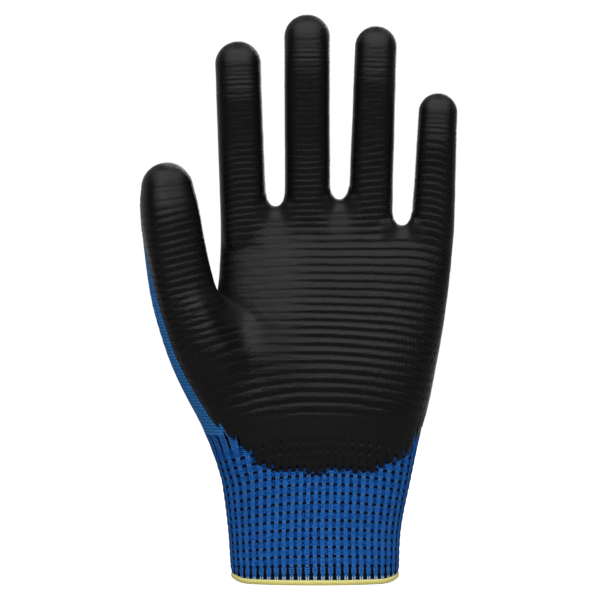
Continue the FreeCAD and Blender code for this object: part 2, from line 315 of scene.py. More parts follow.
# ---- the closed form
def section(z):
    """The hand's section at each height."""
    return catmull(SECTIONS, np.clip(z / SECTION_STEP, 0, len(SECTIONS) - 1)).T


def trunk_distance(p):
    """About the distance to the hand without its stalls."""
    middle_x, half_x, middle_y, half_y, n = section(p[:, 2])
    ax = np.abs(p[:, 0] - middle_x) / half_x + 1e-6
    ay = np.abs(p[:, 1] - middle_y) / half_y + 1e-6
    r = (ax ** n + ay ** n) ** (1 / n)
    gx = (ax / r) ** (n - 1) / half_x
    gy = (ay / r) ** (n - 1) / half_y
    return (r - 1) / np.hypot(gx, gy)


# the fingers' sides that face each web, and its middle
web_sides = [
    (near.root[0] + near.root_radius, far.root[0] - far.root_radius)
    for near, far in zip(fingers, fingers[1:])
]
web_x = [(left + right) / 2 for left, right in web_sides]


def web_level(x):
    """Height of the hand's upper edge: a round hollow between each two fingers."""
    level = np.full(len(x), WEBS[0])
    for finger, (left, right), middle, web in zip(fingers, web_sides, web_x, WEBS):
        half = (right - left) / 2
        reach = np.clip(np.abs(x - middle), 0, half)
        hollow = half - np.sqrt(half * half - reach * reach * WEB_SLOPE)
        level = np.where(x > finger.root[0], web + hollow, level)
    return np.where(x > fingers[3].root[0], WEBS[2] + 2, level)


def round_max(a, b, r):
    """The greater of both, with their edge rounded."""
    return np.minimum(np.maximum(a, b), -r) + np.hypot(np.maximum(a + r, 0), np.maximum(b + r, 0))


thumb_rows = catmull(THUMB_LINE, np.linspace(0, len(THUMB_LINE) - 1, THUMB_SAMPLES))


def thumb_distance(p):
    """Distance to the thumb and its ball, a chain of short cones."""
    d = np.full(len(p), 1e3)
    for a, b in zip(thumb_rows, thumb_rows[1:]):
        way = b[:3] - a[:3]
        t = np.clip((p - a[:3]) @ way / (way @ way), 0, 1)
        off = p - a[:3] - t[:, None] * way
        reach = np.linalg.norm(off, axis=1)
        if a[2] > THUMB_SQUARES[0]:
            q = off @ thumb.turn
            q[:, 1] -= thumb.lean(q[:, 1], thumb.local(p)[:, 2])
            reach = mix(reach, thumb.round_off(*q.T), smoothstep(a[2], *THUMB_SQUARES))
        d = np.minimum(d, reach - mix(a[3], b[3], t))
    return d


GRADIENT_STEP = 0.04


def field(p):
    """Signed distance to the knit's outer face, negative inside."""
    d = round_max(trunk_distance(p), p[:, 2] - web_level(p[:, 0]), WEB_ROUND)
    # the thumb and the fingers count only in the region near them
    by_thumb = (p[:, 0] < 5) & (p[:, 2] > 35) & (p[:, 2] < 195)
    q = p[by_thumb]
    size = THUMB_FILLETS[0]
    for change, heights in zip(np.diff(THUMB_FILLETS), THUMB_CHANGES):
        size = size + change * smoothstep(q[:, 2], *heights)
    d[by_thumb] = smooth_min(d[by_thumb], thumb_distance(q), size)
    up = p[:, 2] > 130
    q = p[up]
    reach = np.min([s.distance(q) for s in fingers], axis=0)
    off_web = np.min([np.abs(q[:, 0] - x) for x in web_x], axis=0)
    d[up] = smooth_min(d[up], reach, mix(FILLET, CREASE, smoothstep(off_web, 5.0, 13.0)))
    return d


def settle(p, times=1):
    """Moves points onto the surface, and returns them with the outward direction there."""
    for _ in range(times):
        here = field(p)
        steps = np.eye(3) * GRADIENT_STEP
        g = np.stack([(field(p + step) - here) / GRADIENT_STEP for step in steps], 1)
        p = p - g * (here / np.maximum((g * g).sum(1), 0.05))[:, None]
    return p, g / np.linalg.norm(g, axis=1)[:, None]


# ---- meshing
# The box that is meshed, the size of its cells, and how many of them go into a coarse one.
NET_LOW = np.array([-82.0, -34.0, 42.0])
NET_HIGH = np.array([68.0, 26.0, 250.0])
NET_STEP = 0.95
COARSE = 3


def sampled_field():
    """The field on a fine grid, worked out exactly only near the surface."""
    counts = ((NET_HIGH - NET_LOW) / (NET_STEP * COARSE)).astype(int) + 1
    axes = [NET_LOW[i] + NET_STEP * COARSE * np.arange(counts[i]) for i in range(3)]
    grid = np.stack(np.meshgrid(*axes, indexing="ij"), -1)
    coarse = field(grid.reshape(-1, 3)).reshape(counts)
    values = coarse.repeat(COARSE, 0).repeat(COARSE, 1).repeat(COARSE, 2).astype(np.float32)
    near = np.argwhere(np.abs(values) < 2.2 * COARSE * NET_STEP)
    for part in np.array_split(near, 12):
        values[tuple(part.T)] = field(NET_LOW + NET_STEP * part)
    return values


def surface_net():
    """Quads round the cells that the surface passes, one point to a cell."""
    values = sampled_field()
    inside = values < 0
    n = values.shape
    total = np.zeros([m - 1 for m in n] + [3], np.float32)
    count = np.zeros([m - 1 for m in n], np.float32)

    def corner(c):
        return tuple(slice(c[m], n[m] - 1 + c[m]) for m in range(3))

    for c in np.ndindex(2, 2, 2):
        for axis in range(3):
            if c[axis]:
                continue
            e = list(c)
            e[axis] = 1
            a, b = values[corner(c)], values[corner(e)]
            cross = (a < 0) != (b < 0)
            share = np.where(cross, a / np.where(cross, a - b, 1), 0)
            for m in range(3):
                total[..., m] += np.where(cross, share if m == axis else c[m], 0)
            count += cross
    has = count > 0
    index = np.full(has.shape, -1)
    index[has] = np.arange(has.sum())
    points = NET_LOW + NET_STEP * (np.argwhere(has) + total[has] / count[has][:, None])
    quads = []
    for axis in range(3):
        inner = inside[tuple(slice(None) if m == axis else slice(1, -1) for m in range(3))]
        flips = np.diff(inner, axis=axis)
        outward = np.delete(inner, -1, axis)[flips] != (axis == 1)
        one, two = np.delete(np.eye(3, dtype=int), axis, 0)
        cells = np.argwhere(flips) + one + two
        around = [index[tuple((cells - step).T)] for step in (0, one, one + two, two)]
        quad = np.stack(around, 1)
        quads.append(np.where(outward[:, None], quad, quad[:, ::-1]))
    quads = np.concatenate(quads)
    return points, quads[(quads >= 0).all(1)]


def directed_sides(faces):
    """Each side of each face as a pair of points, in the order that the face goes round."""
    lone = faces[:, 3] < 0
    return np.concatenate([
        np.stack([some, np.roll(some, -1, axis=1)], -1).reshape(-1, 2)
        for some in (faces[~lone], faces[lone][:, :3])
    ])


def edges_of(faces):
    """Every side of every face once, as sorted pairs, and how many faces share it."""
    pairs = np.sort(directed_sides(faces), axis=1)
    base = pairs.max() * 2
    code, shared = np.unique(pairs[:, 0] * base + pairs[:, 1], return_counts=True)
    return np.stack([code // base, code % base], 1), shared


def relax(points, faces, times):
    """Evens out the points on the surface. Those on its rim stay."""
    pairs, shared = edges_of(faces)
    rim = np.zeros(len(points), bool)
    rim[pairs[shared == 1].ravel()] = True
    both = np.concatenate([pairs, pairs[:, ::-1]])
    count = np.maximum(np.bincount(both[:, 0], minlength=len(points)), 1)[:, None]
    for _ in range(times):
        total = np.zeros_like(points)
        np.add.at(total, both[:, 0], points[both[:, 1]])
        points = np.where(rim[:, None], points, mix(points, total / count, 0.6))
        points = settle(points)[0]
    return points


class Skin:
    """Points with named values, and faces of four corners, or three with -1 at the end."""

    def __init__(self, values, faces):
        self.values = values
        self.faces = faces

    def keep(self, chosen):
        """The chosen faces with the points that they use."""
        faces = self.faces[chosen]
        used = np.unique(faces[faces >= 0])
        number = np.full(len(self.values["rest"]) + 1, -1)
        number[used] = np.arange(len(used))
        return Skin({k: v[used] for k, v in self.values.items()}, number[faces])

    def split(self, level):
        """Cuts along level == 0, and returns the part above and the part below."""
        above = level >= 0
        real = self.faces >= 0
        ups = (above[self.faces] & real).sum(1)
        whole_up = ups == real.sum(1)
        whole_down = ups == 0
        crossing = self.faces[~whole_up & ~whole_down]
        quads = crossing[crossing[:, 3] >= 0]
        tris = crossing[crossing[:, 3] < 0][:, :3]
        tris = np.concatenate([tris, quads[:, :3], quads[:, [0, 2, 3]]])
        count = above[tris].sum(1)
        # triangles that are cut, turned so that the corner on its own comes first
        cut = tris[count % 3 > 0]
        up = count[count % 3 > 0] == 1
        first = (above[cut] == up[:, None]).argmax(1)
        cut = np.take_along_axis(cut, (first[:, None] + np.arange(3)) % 3, 1)
        pairs = np.sort(np.concatenate([cut[:, :2], cut[:, ::2]]), axis=1)
        unique, inverse = np.unique(pairs, axis=0, return_inverse=True)
        ab, ac = inverse.reshape(2, -1) + len(level)
        a, b = unique.T
        share = np.clip(level[a] / (level[a] - level[b] + 1e-12), 0.02, 0.98)
        values = {}
        for key, value in self.values.items():
            t = share if value.ndim == 1 else share[:, None]
            values[key] = np.concatenate([value, mix(value[a], value[b], t)])
        single = closed(np.stack([cut[:, 0], ab, ac], 1))
        double = np.stack([ab, cut[:, 1], cut[:, 2], ac], 1)
        upper = [self.faces[whole_up], closed(tris[count == 3]), single[up], double[~up]]
        lower = [self.faces[whole_down], closed(tris[count == 0]), double[up], single[~up]]
        return [Skin(values, np.concatenate(part)).keep(slice(None)) for part in (upper, lower)]

    def refine(self):
        """Splits every quad in four and puts the new points on the surface."""
        pairs = np.sort(directed_sides(self.faces), axis=1)
        unique, inverse = np.unique(pairs, axis=0, return_inverse=True)
        rest = self.values["rest"]
        n = len(rest)
        side = n + inverse.reshape(-1, 4)
        middle = n + len(unique) + np.arange(len(self.faces))
        added = [rest[unique].mean(1), rest[self.faces].mean(1)]
        rest = settle(np.concatenate([rest] + added))[0]
        faces = []
        for k in range(4):
            faces.append(np.stack([self.faces[:, k], side[:, k], middle, side[:, k - 1]], 1))
        return Skin({"rest": rest}, np.concatenate(faces))


def closed(tris):
    """Triangles as rows of four, as a skin keeps them."""
    return np.concatenate([tris, np.full((len(tris), 1), -1)], 1)


# ---- where things lie on the skin
def polyline_side(x, z, line):
    """Signed distance to a front-view line, positive on its left-hand side as it runs."""
    best = np.full(len(x), 1e6)
    sign = np.ones(len(x))
    for (ax, az), (bx, bz) in zip(line, line[1:]):
        dx, dz = bx - ax, bz - az
        t = np.clip(((x - ax) * dx + (z - az) * dz) / (dx * dx + dz * dz), 0, 1)
        d = np.hypot(x - ax - t * dx, z - az - t * dz)
        cross = dx * (z - az) - dz * (x - ax)
        sign = np.where(d < best, np.sign(cross), sign)
        best = np.minimum(d, best)
    return best * sign


film_line = catmull(FILM_EDGE, np.linspace(0, len(FILM_EDGE) - 1, 66))


def arc_table():
    """Share of the way round the cuff's outline against the angle in its squashed frame."""
    turn = np.linspace(-math.pi, math.pi, 1441)
    _, half_x, _, half_y, n = SECTIONS[1]
    size = (np.abs(np.cos(turn)) ** n + np.abs(np.sin(turn)) ** n) ** (-1 / n)
    x = half_x * size * np.cos(turn)
    y = half_y * size * np.sin(turn)
    step = np.hypot(np.diff(x), np.diff(y))
    return turn, np.concatenate([[0], np.cumsum(step)]) / step.sum()


ARC_TURN, ARC_SHARE = arc_table()


def share_round(p):
    """Share of the way round the hand, from the right edge through the back. 0.25 is the back's
    middle and 0.75 the palm's."""
    middle_x, half_x, middle_y, half_y, _ = section(p[:, 2])
    turn = np.arctan2((p[:, 1] - middle_y) / half_y, (p[:, 0] - middle_x) / half_x)
    return (np.interp(turn, ARC_TURN, ARC_SHARE) + 0.5) % 1.0


def column_round(p):
    """Column number of the cuff's waffle. Where the hand widens, the sides take the stretch."""
    share = share_round(p)
    stretch = CUFF_STRETCH * smoothstep(p[:, 2], 5, 75)
    return CUFF_COLUMNS * (share - stretch * np.sin(4 * math.pi * share) / (4 * math.pi))


def row_level(p):
    """Height of each point along its column. Rows are level at the hem and arched higher up."""
    droop = ROW_DROOP * np.sqrt(np.clip(p[:, 2], 0, 90) / 60)
    return p[:, 2] + droop * ((p[:, 0] - 4) / 38) ** 2


def waffle_row(p):
    """Row number of the cuff's waffle."""
    return (row_level(p) + ROW_START) / CUFF_ROW


def ladder_band(p):
    """Where the columns part and leave black gaps: over the hem, and where the cuff ends."""
    level = row_level(p)
    high = smoothstep(level, *LADDER_OPENS) * smoothstep(level, *LADDER_CLOSES)
    return np.maximum(smoothstep(p[:, 2], *LADDER_LOW), high)


def film_level(p):
    """Signed distance inside the film's edge, positive under the film."""
    x, y, z = p.T
    # how far each point lies to the back, and how far back the film reaches there
    lean = y
    back = FILM_HAND_BACK - FILM_CROTCH_LESS * smoothstep(x, -39, -46) * smoothstep(z, 133, 126)
    for stall in stalls:
        q = stall.local(p)
        on_tip = q[:, 2] - (stall.length - FILM_TIP_BACK)
        share = smoothstep(q[:, 2], stall.cuts[0] - 8, stall.cuts[0] + 2)
        share *= stall.distance(p) < 6
        lean = mix(lean, q[:, 1], share)
        back = mix(back, np.maximum(on_tip, stall.film_back), share)
    jag = 0.35 * np.abs(((z / 2.7) % 1.0) - 0.5) + 0.25 * noise(p, 3.0, 5)

    # the edge in front view, with the teeth longer and shorter from column to column
    column = column_round(p)
    spike = TOOTH_DEPTH * smoothstep(np.abs(column % 1.0 - 0.5), 0.26, 0.42)
    block = np.floor(column / 3)
    step = 1.5 * np.sin(block * 2.4) * np.cos(block * 0.9) + 0.5 * np.sin(np.floor(column) * 1.7)
    saw = SAW_DEPTH * np.abs((z + 0.4 * x) / SAW_PITCH % 1.0 - 0.5)
    low = smoothstep(z, *TEETH)
    front = polyline_side(x, z, film_line) - low * (spike + step) + (1 - low) * saw
    return np.minimum(back - lean + jag, front)


def rib_phase(p):
    """Number of the valley between ribs at each point, a whole number along its middle."""
    x, _, z = p.T
    right = np.maximum(x - 4, 0) / 42
    level = z + 0.1 * (142.5 - z) * right ** 1.6 + 0.55 * right ** 9
    left = np.clip(-x / 32, 0, 1)
    level += left ** 2 * np.interp(z, RIB_FALL[:, 0], RIB_FALL[:, 1])
    level += 0.26 * np.maximum(-x - 33, 0)
    low = np.maximum(RIB_WIDEN - level, 0)
    phase = (np.maximum(level, RIB_WIDEN) - RIB_START) / RIB_PITCH
    phase -= np.log(1 + RIB_GROWTH / RIB_PITCH * low) / RIB_GROWTH
    pitch = np.interp(x, [s.root[0] for s in fingers], FINGER_RIBS)
    fine = np.maximum(level - FINGER_RIBS_FROM, 0) * (x > -46)
    return phase + fine * (1 / pitch - 1 / RIB_PITCH)


def rib_strength(p):
    """How deep the valleys between the ribs are."""
    x, _, z = p.T
    on_thumb = smoothstep(x, -38, -46) * smoothstep(z, 108, 118)
    off_thumb = 1 - on_thumb
    off_finger = np.min([np.abs(x - s.root[0]) for s in fingers], axis=0)
    strength = RIB_DEPTH * smoothstep(z, 69, 79)
    for loss in (
        # the index finger's side of the palm, round the thumb's crotch, and the thumb's ball
        0.82 * smoothstep(np.abs(x + 22), 27, 7) * smoothstep(z, 80, 92) * smoothstep(z, 160, 146),
        0.6 * smoothstep(np.hypot(x + 41, z - 122), 15, 6),
        0.45 * smoothstep(x, -30, -42) * smoothstep(z, 124, 112),
        0.35 * on_thumb,
        # between the fingers, up the fingers, and up the thumb
        0.8 * off_thumb * smoothstep(off_finger, 5, 10) * smoothstep(z, 142, 156),
        0.3 * off_thumb * smoothstep(z, 158, 166),
        0.85 * off_thumb * smoothstep(z, 172, 198),
        on_thumb * smoothstep(z, 152, 166),
    ):
        strength *= 1 - loss
    return strength


def film_relief(p, normal, level):
    """Height of the film over the knit, how much each point lies in a valley between the ribs or
    in the waffle's dents, whose colour is darkened there as painted shade, and how much on the
    steep wall beside a valley."""
    x, y, z = p.T
    wobble = 0.06 * np.sin(x * 3.9) + 0.03 * noise(p, 2.0, 3) + 0.05 * noise(p, 9.0, 4)
    # up from the foot of a rib: its flat face, the step back over it, the slope to the next
    f = (rib_phase(p) - RIB_FOOT + wobble) % 1.0
    face = np.clip(f / FACE_END, 0, 1)
    step = smoothstep(f, FACE_END, STEP_END)
    slope = 1 - smoothstep(f, STEP_END, 1.0)
    facing = smoothstep(-normal[:, 1], 0.15, 0.75)
    strength = rib_strength(p) * mix(0.12, 1.0, facing)
    # the faces tilt on the heel of the hand and on the thumb
    tilt = 0.5 * np.maximum(smoothstep(z, 126, 110), smoothstep(x, -44, -50))
    tilt *= smoothstep(z, 170, 160)
    height = -strength * (0.8 * step + tilt * (face - 0.5)) * slope
    wall = smoothstep(f, 0.36, 0.45) * smoothstep(f, 0.66, 0.58) * np.clip(strength / 0.3, 0, 1)

    # the print of the waffle through the film at the heel of the hand
    low = smoothstep(z, *HEEL)
    between = smoothstep(np.abs(column_round(p) % 1.0 - 0.5), 0.34, 0.44)
    dent = 1 - smoothstep(np.abs((waffle_row(p) + 0.1) % 1.0 - 0.5), 0.2, 0.34)
    dent *= smoothstep(row_level(p), 64, 62.5)
    height -= low * between * (0.05 + 0.5 * dent)
    # painted shade: the dents at the heel are darkened in the film's colour through this mask
    dent_shade = low * dent * between

    # the fold that runs from the thumb's crotch into the palm
    along = np.interp(x, FOLD[:, 0], FOLD[:, 1])
    fade = smoothstep(x, -17, -32) * smoothstep(x, -47, -40) * smoothstep(-y, 2, 6)
    height -= FOLD_DEPTH * bump((z - along) * 0.8, 4.4) * fade

    # fine wrinkles under each fingertip
    for stall in fingers:
        q = stall.local(p)
        place = q[:, 2] - stall.length
        marks = 0.8 * bump(place + 13.5 - 0.02 * q[:, 0] ** 2, 0.8)
        for below, width, depth in WRINKLES:
            marks += depth * bump(place + below, width)
        height -= WRINKLE_DEPTH * marks * ((stall.distance(p) < NEAR_STALL) & (q[:, 1] < 2))
    height += 0.07 * noise(p, 16.0, 8) + 0.03 * noise(p, 5.0, 9)
    thick = mix(FILM_EDGE_WALL, FILM_WALL, smoothstep(level, 0, FILM_FEATHER))
    # painted shade: the valleys between the ribs are darkened in the film's colour through this
    # mask
    valley = step * slope * np.clip(strength / RIB_DEPTH, 0, 1)
    return thick + height * smoothstep(level, -0.2, 1.6), np.maximum(valley, 0.8 * dent_shade), wall


def web_masks(p):
    """The corners of each web and by the thumb, darkened in the film's colour as painted shade and
    rougher, and the saddles, where the film gathered and is rougher.
    """
    corner = smoothstep(np.abs(polyline_side(p[:, 0], p[:, 2], THUMB_CORNER)), 8.0, 1.5)
    saddle = np.zeros(len(p))
    for x, z in zip(web_x, WEBS):
        off = np.abs(p[:, 0] - x)
        up = (p[:, 2] - z) * 0.8
        corner = np.maximum(corner, smoothstep(np.hypot(off - 6.0, up + 2.0), 5.5, 1.5))
        saddle = np.maximum(saddle, smoothstep(np.hypot(off, up + 1.5), 7.0, 3.0))
    return corner, saddle


# ---- the skin as meshes
def stitches(p, name):
    """Pattern coordinates of a piece of skin, and the columns round it."""
    stall = stall_of.get(name)
    if stall is None:
        return np.stack([column_round(p) * 2, p[:, 2] / STITCH_COURSE], 1), 2 * CUFF_COLUMNS
    q = stall.local(p)
    columns = round(2 * math.pi * stall.root_radius / STITCH_WALE)
    turn = (np.arctan2(q[:, 1], q[:, 0]) / (2 * math.pi) + 0.25) % 1.0
    return np.stack([turn * columns, q[:, 2] / STITCH_COURSE], 1), columns


def vertex_normals(points, faces):
    """Outward direction at each point, from the faces round it."""
    a, b, c = (points[faces[:, k]] for k in range(3))
    d = points[np.where(faces[:, 3] >= 0, faces[:, 3], faces[:, 2])]
    face = np.cross(c - a, d - b)
    total = np.zeros_like(points)
    for k in range(4):
        some = faces[:, k] >= 0
        np.add.at(total, faces[some, k], face[some])
    return total / np.maximum(np.linalg.norm(total, axis=1), 1e-9)[:, None]


def link(name, data):
    """A new object in the scene."""
    thing = bpy.data.objects.new(name, data)
    bpy.context.scene.collection.objects.link(thing)
    return thing


def add_mesh(name, points, faces, material, stitch, columns, masks=None, normals=None):
    """A mesh object in metres with smooth faces, its pattern coordinates and its masks."""
    mesh = bpy.data.meshes.new(name)
    size = (faces >= 0).sum(1)
    corners = faces[faces >= 0]
    start = np.concatenate([[0], np.cumsum(size)[:-1]])
    mesh.vertices.add(len(points))
    mesh.vertices.foreach_set("co", (points * MM).astype(np.float32).ravel())
    mesh.loops.add(len(corners))
    mesh.loops.foreach_set("vertex_index", corners.astype(np.int32))
    mesh.polygons.add(len(faces))
    mesh.polygons.foreach_set("loop_start", start.astype(np.int32))
    mesh.polygons.foreach_set("use_smooth", np.ones(len(faces), bool))
    mesh.update(calc_edges=True)
    # a face across the pattern's seam takes its low corners one round higher
    uv = stitch[corners].copy()
    highest = np.maximum.reduceat(uv[:, 0], start).repeat(size)
    uv[:, 0] += np.where(highest - uv[:, 0] > columns / 2, columns, 0)
    layer = mesh.uv_layers.new(name="stitch")
    layer.data.foreach_set("uv", uv.astype(np.float32).ravel())
    rest = mesh.attributes.new("rest", "FLOAT_VECTOR", "POINT")
    rest.data.foreach_set("vector", points.astype(np.float32).ravel())
    for key, value in (masks or {}).items():
        mask = mesh.attributes.new(key, "FLOAT", "POINT")
        mask.data.foreach_set("value", value.astype(np.float32))
    mesh.materials.append(material)
    if normals is not None:
        mesh.normals_split_custom_set_from_vertices(normals.tolist())
    return link(name, mesh)


# ---- materials
class Value:
    """A node's output. Reckoning with it makes more nodes."""

    def __init__(self, nodes, socket):
        self.nodes = nodes
        self.socket = socket

    def do(self, operation, *others):
        node = self.nodes.put("ShaderNodeMath", self, *others)
        node.operation = operation
        return Value(self.nodes, node.outputs[0])

    __add__ = partialmethod(do, "ADD")
    __sub__ = partialmethod(do, "SUBTRACT")
    __mul__ = partialmethod(do, "MULTIPLY")
    __pow__ = partialmethod(do, "POWER")
    __abs__ = partialmethod(do, "ABSOLUTE")
    fract = partialmethod(do, "FRACT")
    least = partialmethod(do, "MAXIMUM")
    most = partialmethod(do, "MINIMUM")

    def __rsub__(self, other):
        return self * -1.0 + other

    def wave(self, half_turns):
        """Its sine, where 1 stands for a number of half turns."""
        return (self * (half_turns * math.pi)).do("SINE")

    def ramp(self, low, high, start=0.0, end=1.0, kind="LINEAR"):
        """From start, where it is low or beyond, to end, where it is high or beyond."""
        node = self.nodes.put("ShaderNodeMapRange", self, low, high, start, end)
        node.interpolation_type = kind
        return Value(self.nodes, node.outputs[0])


class Nodes:
    """A node tree, written as calls."""

    def __init__(self, tree):
        self.tree = tree

    def feed(self, socket, value):
        """Gives an input a number, a colour or a node's output."""
        if isinstance(value, Value):
            self.tree.links.new(value.socket, socket)
        else:
            socket.default_value = value

    def put(self, kind, *placed, **named):
        """A new node with its first inputs in order, and others by name."""
        node = self.tree.nodes.new(kind)
        for socket, value in zip(node.inputs, placed):
            self.feed(socket, value)
        for name, value in named.items():
            self.feed(node.inputs[name], value)
        return node

    def read(self, kind, output):
        """An output of a new node that takes nothing in."""
        return Value(self, self.put(kind).outputs[output])


class Material(Nodes):
    """A material's shader, what it reads from the mesh, and its colours."""

    def __init__(self, name, roughness, specular):
        self.material = bpy.data.materials.new(name)
        self.material.use_nodes = True
        super().__init__(self.material.node_tree)
        self.shader = self.tree.nodes["Principled BSDF"]
        self.shader.inputs["Roughness"].default_value = roughness
        self.shader.inputs["Specular IOR Level"].default_value = specular

    def mask(self, name, output="Fac"):
        node = self.put("ShaderNodeAttribute")
        node.attribute_name = name
        return Value(self, node.outputs[output])

    def stitch(self):
        """Pattern coordinates: columns across and rows along."""
        node = self.put("ShaderNodeUVMap")
        node.uv_map = "stitch"
        parts = self.put("ShaderNodeSeparateXYZ", Value(self, node.outputs[0]))
        return Value(self, parts.outputs[0]), Value(self, parts.outputs[1])

    def noise(self, scale, detail=2.0):
        rest = self.mask("rest", "Vector")
        node = self.put("ShaderNodeTexNoise", Vector=rest, Scale=scale, Detail=detail)
        return Value(self, node.outputs["Fac"])

    def colours(self, factor, *stops):
        """A run through colours, each with its place and its sRGB values from 0 to 255."""
        node = self.put("ShaderNodeValToRGB", factor)
        ramp = node.color_ramp
        while len(ramp.elements) < len(stops):
            ramp.elements.new(0.5)
        for element, (place, colour) in zip(ramp.elements, stops):
            element.position = place
            element.color = (*linear(colour), 1)
        return Value(self, node.outputs["Color"])

    def blend(self, factor, below, above):
        node = self.put("ShaderNodeMix")
        node.data_type = "RGBA"
        for k, value in ((0, factor), (6, below), (7, (*above, 1))):
            self.feed(node.inputs[k], value)
        return Value(self, node.outputs[2])

    def finish(self, colour, height, depth):
        """Joins up the shader, with a fine relief of a depth in metres."""
        bump = self.put("ShaderNodeBump", Height=height, Distance=depth, Strength=1.0)
        self.feed(self.shader.inputs["Base Color"], colour)
        self.feed(self.shader.inputs["Normal"], Value(self, bump.outputs[0]))
        return self.material


def linear(colour):
    """Linear values of an sRGB colour given from 0 to 255."""
    return [((c / 255 + 0.055) / 1.055) ** 2.4 if c > 10 else c / 255 / 12.92 for c in colour]


def vee(across, along):
    """Height of plain knit: rows of V stitches, 0 in the gaps and 1 on the yarn."""
    side = across.do("PINGPONG", 0.5)
    cord = (along - side * 1.1).fract().wave(1)
    return cord ** 0.6 * side.wave(2).least(0.0) ** 0.5


def make_knit():
    m = Material("blue_knit", 0.85, 0.04)
    across, along = m.stitch()
    height = vee(across, along)
    # painted shade: the colour darkens in the gaps between the stitches, where the yarn is low
    tone = height * 0.75 + m.noise(0.35) * 0.3
    colour = m.colours(tone, (0.0, (12, 42, 88)), (0.45, (34, 94, 160)), (1.0, (74, 148, 216)))
    # the black gaps of the ladder, one to a column of the cuff, which is two stitches wide
    side = abs((across * 0.5).fract() - 0.5)
    gap = ((side - 0.35) * 12.0).least(0.0).most(m.mask("ladder"))
    colour = m.blend(gap, colour, (0.006, 0.007, 0.009))
    return m.finish(colour, height + m.noise(3.5, 4.0) * 0.25, 0.00035)


def make_cuff():
    m = Material("cuff_knit", 0.85, 0.04)
    across, along = m.stitch()
    ladder, plain = m.mask("ladder"), m.mask("plain")
    side = abs(across.fract() - 0.5)
    up = along.fract() - 0.5

    # chevrons of yarn, stacked up each column
    yarn = (along * 4.0 - side * 2.0).fract().wave(1)
    # a black trapezoid in the valley at each row, and a full-height gap in the ladder
    dash = (side - up * 0.4).ramp(0.175, 0.255) * abs(up).ramp(0.17, 0.125) * (1.0 - plain)
    edge = side - (along * 0.08 + 0.14).most(0.36)
    black = (edge.ramp(0.0, 0.05) * ladder).least(dash)
    # pale beads up the gap's edges, and cream yarn next to the hem
    beads = abs(edge + 0.04).ramp(0.05, 0.02) * along.wave(10).ramp(0.0, 0.5) * ladder
    beside = abs(side - 0.14).ramp(0.08, 0.03)
    cream = beside * along.ramp(1.35, 1.2) * ladder
    # a dark speck on each column's middle at each row, with a light one at both sides
    line = abs(up - 0.02).ramp(0.14, 0.06) * (1.0 - ladder.least(plain))
    dark = side.ramp(0.08, 0.03) * line
    light = (beside * line).least(beads)

    fleck = m.noise(1.9, 2.0) * 2.2 - 1.1
    # painted shade: the colour darkens in the gaps between the chevrons of yarn and towards each
    # column's sides, down into the valleys
    tone = yarn - 0.15 + m.noise(0.4) * 0.3 + fleck - side.ramp(0.20, 0.36) * 0.36
    colour = m.colours(tone, (0.0, (4, 24, 76)), (0.4, (10, 54, 122)), (1.0, (46, 122, 208)))
    for share, over in (
        (light * 0.4, (0.20, 0.50, 0.78)),
        (cream * 0.8, (0.62, 0.66, 0.50)),
        (dark * 0.75, (0.003, 0.008, 0.03)),
        (black, (0.004, 0.005, 0.008)),
    ):
        colour = m.blend(share, colour, over)
    return m.finish(colour, yarn, 0.0003)


def make_film():
    m = Material("dipped_film", 0.4, 0.14)
    across, along = m.stitch()
    weave = vee(across, along * 0.7)
    valley = m.mask("valley")
    # the tone varies at random, and is darker in the gaps of the knit beneath as painted shade
    tone = m.noise(0.12) * 0.5 + weave * 0.25
    colour = m.colours(tone, (0.2, (8, 8, 9)), (0.8, (13, 13, 14)))
    # painted shade: near black in the rib valleys, the waffle's dents and the web corners
    colour = m.blend(valley, colour, (0.001, 0.001, 0.0011))
    rough = m.mask("matte") * 0.16 + m.noise(0.3) * 0.12 + valley * 0.1 + 0.16
    m.feed(m.shader.inputs["Roughness"], rough)
    return m.finish(colour, m.noise(2.2, 3.0) * 0.6 + weave * 0.3, 0.00018)


def make_hem_yarn():
    m = Material("hem_yarn", 0.8, 0.1)
    across, along = m.stitch()
    cord = (across + along * 0.5).fract().wave(1)
    # painted shade: the colour darkens between the wraps of yarn
    tone = cord * 0.7 + m.noise(0.9, 3.0) * 0.35
    yellows = (0.0, (170, 158, 84)), (0.5, (222, 212, 124)), (1.0, (236, 228, 144))
    return m.finish(m.colours(tone, *yellows), cord + m.noise(4.0) * 0.3, 0.0002)


def make_plain(name, low, high, roughness, specular):
    m = Material(name, roughness, specular)
    height = vee(*m.stitch())
    # painted shade: the colour darkens in the gaps between the stitches
    tone = (height + m.noise(0.6)) * 0.5
    return m.finish(m.colours(tone, (0.1, low), (0.9, high)), height, 0.0002)


knit_material = make_knit()
cuff_material = make_cuff()
film_material = make_film()
hem_material = make_hem_yarn()
lining_material = make_plain("lining_knit", (16, 36, 58), (46, 88, 132), 0.9, 0.2)
elastic_material = make_plain("elastic_yarn", (14, 14, 16), (34, 34, 38), 0.7, 0.3)


# ---- skin pieces
def by_piece(skin):
    """Each stall's parts of a skin from the tip down, and then the hand's part."""
    parts = {}
    for stall in stalls:
        for name, cut in reversed(list(zip(stall.names, stall.cuts))):
            p = skin.values["rest"]
            high = np.where(stall.distance(p) < NEAR_STALL, stall.local(p)[:, 2] - cut, -1.0)
            parts[name], skin = skin.split(high)
    parts["hand"] = skin
    return parts


